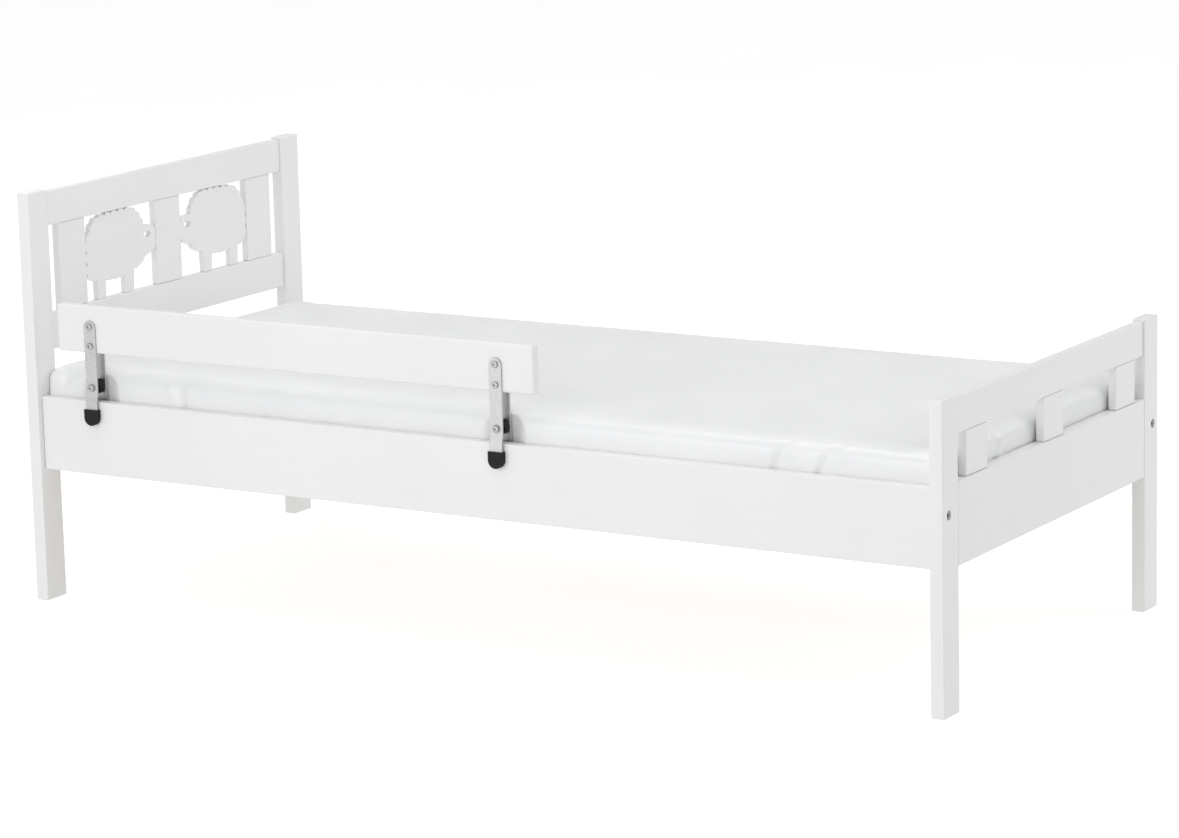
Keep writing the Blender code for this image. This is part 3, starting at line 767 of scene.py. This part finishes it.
def lean_sides(points, middle, half):
    """Draw the sides in a little towards the top, and swell the ends into the end frames' gaps."""
    above = np.clip((points[:, 2] - middle.z) / half.z, 0.0, 1.0)
    outer = smoothstep(np.abs(points[:, 1]), 0.20, 0.33)
    points[:, 1] -= np.sign(points[:, 1]) * SIDE_LEAN * above ** 2 * outer
    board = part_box("foot_base_board")[1].z
    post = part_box("foot_post_far")[0].y
    free = smoothstep(points[:, 2], board - WINDOW_BELOW, board + WINDOW_ABOVE)
    free = free * (1 - smoothstep(np.abs(points[:, 1]), post - 0.012, post - 0.002))
    free = free * smoothstep(np.abs(points[:, 0]), 0.70, 0.79)
    points[:, 0] += np.sign(points[:, 0]) * (WINDOW_REACH - END_REACH) * free


def settle_cover(obj):
    """Crown the top, wrinkle the sides, lay the bottom on the slats and stay in the bed."""
    low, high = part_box("mattress")
    points = coordinates(obj.data)
    normals = vertex_normals(obj.data)
    fill_bed(points, normals)
    middle = (low + high) / 2
    half = (high - low) / 2
    lean_sides(points, middle, half)
    points -= normals * crease_depths(points, normals, low, high)[:, None]
    points += normals * (UNDULATION * waves(points, WAVES_SEED))[:, None]
    inner = np.clip(1 - ((points[:, 0] - middle.x) / half.x) ** 2, 0, 1)
    inner *= np.clip(1 - ((points[:, 1] - middle.y) / half.y) ** 2, 0, 1)
    upper = smoothstep(points[:, 2], middle.z, high.z - 0.004)
    points[:, 2] += CROWN * inner * upper
    points[:, 2] = np.maximum(points[:, 2], low.z + 0.0001)
    points[:, 0] = np.clip(points[:, 0], -WINDOW_REACH, WINDOW_REACH)
    points[:, 1] = np.clip(points[:, 1], -SIDE_REACH, SIDE_REACH)
    dent_at_brackets(points)
    set_coordinates(obj.data, points)


def make_cover():
    """The mattress cover, which stands for the CAD mattress."""
    obj = foam_block()
    inflate(obj)
    subdivide(obj)
    settle_cover(obj)
    obj.data.shade_smooth()
    obj.data.materials.append(ticking())
    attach(obj, "mattress")
    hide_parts("mattress")
    return obj


def ray_starts(half_size, spacing):
    """Places inside the cover's outline, with the outward direction that each looks in."""
    inner_x, inner_y = half_size.x - TURN_INSET, half_size.y - TURN_INSET
    bends = max(2, int(TURN_INSET * math.pi / 2 / spacing))
    starts = []
    for side in range(4):
        turn = side * math.pi / 2
        outward = Vector((math.cos(turn), math.sin(turn), 0))
        along = Vector((-outward.y, outward.x, 0))
        reach, half = (inner_x, inner_y) if side % 2 == 0 else (inner_y, inner_x)
        count = max(2, int(2 * half / spacing))
        for step in range(count):
            starts.append((outward * reach + along * half * (2 * step / count - 1), outward))
        for step in range(bends):
            angle = turn + math.pi / 2 * step / bends
            starts.append((outward * reach + along * half, Vector((math.cos(angle), math.sin(angle), 0))))
    return starts


def ring_round(obj, height, spacing, lift):
    """Frames round the cover at one height, as (point, up, outwards), found by casting rays."""
    low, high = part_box("mattress")
    tree = BVHTree.FromPolygons([v.co for v in obj.data.vertices], [p.vertices for p in obj.data.polygons])
    middle = (low + high) / 2
    frames = []
    for inside, direction in ray_starts((high - low) / 2, spacing):
        origin = Vector((middle.x, middle.y, height)) + inside
        hit, _, _, _ = tree.ray_cast(origin + direction * RAY_START, -direction)
        frames.append((hit + direction * lift, Vector((0, 0, 1)), direction))
    return frames


def make_seam(cover):
    """The piped seam that joins the cover's side band to its bottom."""
    low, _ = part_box("mattress")
    bm = bmesh.new()
    frames = ring_round(cover, low.z + SEAM_HEIGHT, SEAM_SPACING, lift=-SEAM_SINK)
    sweep(bm, frames, oval(0.0014, 0.0012, 10), closed=True)
    seam = add_piece("mattress_seam", bm, tape(*SEAM_TAPE), "mattress")
    seam.parent = cover


ZIP_HEIGHT = 0.0655
ZIP_HALF = 0.620
TAPE_END = 0.012
TAPE_SPACING = 0.008
TAPE_LIFT = 0.0002
TAPE_PROFILE = oval(0.0080, 0.0005, 16, 6.0)
TOOTH_PITCH = 0.0020
TOOTH_LIFT = 0.0010
TOOTH_PROFILE = oval(0.0016, 0.0007, 8, 2.6)
TOOTH_HALF = 0.0007

# The slider's outline as (along, half width), and its bridge and pull tab as (along or up, outward)
SLIDER_BODY = [(-0.0055, 0.0036), (-0.0030, 0.0046), (0.0030, 0.0046), (0.0055, 0.0028)]
SLIDER_BRIDGE = [(-0.0034, 0.0026), (-0.0028, 0.0040), (0.0, 0.0046), (0.0028, 0.0040), (0.0034, 0.0026)]
SLIDER_TAB = [(0.0010, 0.0036), (-0.0030, 0.0042), (-0.0100, 0.0034), (-0.0240, 0.0026)]


def zip_frames(cover, half, spacing, lift):
    """Frames along the middle of the cover's far side, at the zip's height."""
    low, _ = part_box("mattress")
    ring = ring_round(cover, low.z + ZIP_HEIGHT, spacing, lift)
    return sorted((f for f in ring if f[2].y > 0.99 and abs(f[0].x) < half), key=lambda f: f[0].x)


def add_teeth(bm, frames):
    """Two rows of coil teeth that mesh along the middle of the tape."""
    for index, (point, up, outward) in enumerate(frames):
        along = up.cross(outward)
        middle = point + up * (TOOTH_HALF if index % 2 else -TOOTH_HALF)
        ends = [(middle + along * shift, up, outward) for shift in (-TOOTH_HALF, TOOTH_HALF)]
        sweep(bm, ends, TOOTH_PROFILE)


def add_slider(bm, frame):
    """The slider's body, its bridge and the pull tab that hangs from it."""
    point, up, outward = frame
    along = up.cross(outward)
    stations = [(point + along * shift + outward * 0.0013, half) for shift, half in SLIDER_BODY]
    for (start, half), (end, after) in zip(stations, stations[1:]):
        middle = (half + after) / 2
        sweep(bm, [(start, up, outward), (end, up, outward)], oval(middle, 0.0016, 16, 4.0))
    bridge = [(point + along * shift + outward * high, up, (outward + along * shift * 90).normalized())
              for shift, high in SLIDER_BRIDGE]
    sweep(bm, bridge, oval(0.0011, 0.0004, 8, 3.0))
    tab = [(point + up * drop + outward * high, along, outward) for drop, high in SLIDER_TAB]
    sweep(bm, tab, oval(0.0026, 0.0005, 16, 4.0))


def make_zip(cover):
    """The cover's zip along the far side: tape, coil and slider."""
    band, coil, slider = bmesh.new(), bmesh.new(), bmesh.new()
    sweep(band, zip_frames(cover, ZIP_HALF + TAPE_END, TAPE_SPACING, TAPE_LIFT), TAPE_PROFILE)
    teeth = zip_frames(cover, ZIP_HALF, TOOTH_PITCH, TOOTH_LIFT)
    add_teeth(coil, teeth)
    add_slider(slider, teeth[-1])
    for name, bm, material, slot in (
        ("mattress_zip_tape", band, tape(*ZIP_TAPE), "mattress_fabric"),
        ("mattress_zip_coil", coil, tape(*ZIP_COIL), "mattress_fabric"),
        ("mattress_zip_slider", slider, metal(*SLIDER_PLATE), "zinc"),
    ):
        add_piece(name, bm, material, "mattress").parent = cover


# Slatted base fittings

STRAP_Y = 0.235
STRAP_WIDE = 0.025
STRAP_THICK = 0.0012
STRAP_SAG = 0.0022
STRAP_END = 0.006
STRAP_STEPS = 150
STAPLE_SHIFTS = (-0.014, 0.014)

# Half of a staple's path, as (across, up), from its leg to the middle of its crown
STAPLE_HALF = [(-0.0050, 0.0012), (-0.0047, 0.0003), (-0.0038, 0.0)]

LEDGE_SCREWS = (-0.64, -0.2135, 0.2135, 0.64)
LEDGE_SCREW_RADIUS = 0.0042

# A screw head's rings, as (share of the radius, height), and its cross recess
HEAD_RINGS = [(1.0, -0.0004), (0.97, 0.0003), (0.72, 0.0005), (0.5, 0.0005), (0.3, 0.0005), (0.12, 0.0005)]
CROSS_REACH = 0.6
CROSS_HALF = 0.13
CROSS_DEPTH = 0.0011


def slat_boxes():
    return [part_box(name) for name in sorted(NODES) if name.startswith("bed_slat_")]


def strap_height(x, slats):
    """How far the strap's middle lies below the slats: against them, and sagging in the gaps."""
    under = slats[0][0].z - STRAP_THICK / 2 - 0.0002
    for (_, before), (after, _) in zip(slats, slats[1:]):
        if before.x < x < after.x:
            share = (x - before.x) / (after.x - before.x)
            return under - STRAP_SAG * math.sin(math.pi * share) ** 2
    return under


def make_strap(side, material):
    """A webbing strap that spaces the slats, fixed under them."""
    slats = slat_boxes()
    start, end = slats[0][0].x + STRAP_END, slats[-1][1].x - STRAP_END
    frames = []
    for step in range(STRAP_STEPS + 1):
        x = start + (end - start) * step / STRAP_STEPS
        point = Vector((x, SIDES[side] * STRAP_Y, strap_height(x, slats)))
        frames.append((point, Vector((0, 1, 0)), Vector((0, 0, 1))))
    bm = bmesh.new()
    sweep(bm, frames, oval(STRAP_WIDE / 2, STRAP_THICK / 2, 16, 6.0))
    add_piece("slat_strap_" + side, bm, material, "frame")


def make_staples(side, material):
    """Two wire staples through the strap at each slat."""
    path = STAPLE_HALF + [(-across, up) for across, up in reversed(STAPLE_HALF)]
    y = SIDES[side] * STRAP_Y
    bm = bmesh.new()
    for low, high in slat_boxes():
        z = low.z - STRAP_THICK - 0.0004
        for shift in STAPLE_SHIFTS:
            x = (low.x + high.x) / 2 + shift
            frames = [(Vector((x, y + across, z + up)), Vector((1, 0, 0)), Vector((0, 0, 1)))
                      for across, up in path]
            sweep(bm, frames, oval(0.0006, 0.0004, 8, 3.0))
    add_piece("strap_staples_" + side, bm, material, "frame")


def add_screw_head(bm, centre, outward, radius, count=24):
    """A flat countersunk head with a cross recess, standing just clear of the wood."""
    across = Vector((1, 0, 0))
    up = outward.cross(across)
    rings = []
    for share, proud in HEAD_RINGS:
        ring = []
        for index in range(count):
            angle = 2 * math.pi * index / count
            u, v = math.cos(angle) * share * radius, math.sin(angle) * share * radius
            in_cross = min(abs(u), abs(v)) < CROSS_HALF * radius and share < CROSS_REACH
            height = -CROSS_DEPTH if in_cross else proud
            ring.append(bm.verts.new(centre + across * u + up * v + outward * height))
        rings.append(ring)
    skin(bm, rings)


def make_ledge_screws(side, material):
    """Screws that hold a ledge to its side rail."""
    low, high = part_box("slat_ledge_" + side)
    inner = high.y if side == "near" else low.y
    bm = bmesh.new()
    for x in LEDGE_SCREWS:
        centre = Vector((x, inner, (low.z + high.z) / 2))
        add_screw_head(bm, centre, Vector((0, -SIDES[side], 0)), LEDGE_SCREW_RADIUS)
    add_piece("ledge_screws_" + side, bm, material, "frame")


# Floor

FLOOR_RADIUS = 30.0
FLOOR_DROP = 0.0004


def add_floor():
    """The floor is seen and mirrored; the lower half of the sky stands for the light it sends up."""
    bm = bmesh.new()
    bmesh.ops.create_circle(bm, cap_ends=True, segments=96, radius=FLOOR_RADIUS)
    floor = bpy.data.objects.new("studio_floor", mesh_from("studio_floor", bm, smooth=False))
    floor.data.materials.append(paper_floor())
    floor.location = (0, 0, -FLOOR_DROP)
    floor.visible_diffuse = False
    floor.visible_shadow = False
    bpy.context.scene.collection.objects.link(floor)


bpy.context.scene.view_settings.view_transform = "Standard"
add_camera()
add_sky()
for softbox in SOFTBOXES:
    add_softbox(*softbox)
add_floor()
finish_nodes()
cover = make_cover()
make_seam(cover)
make_zip(cover)
webbing = tape(*STRAP_WEBBING)
wire = metal(*STAPLE_WIRE)
for side in SIDES:
    make_strap(side, webbing)
    make_staples(side, wire)
    make_ledge_screws(side, wire)
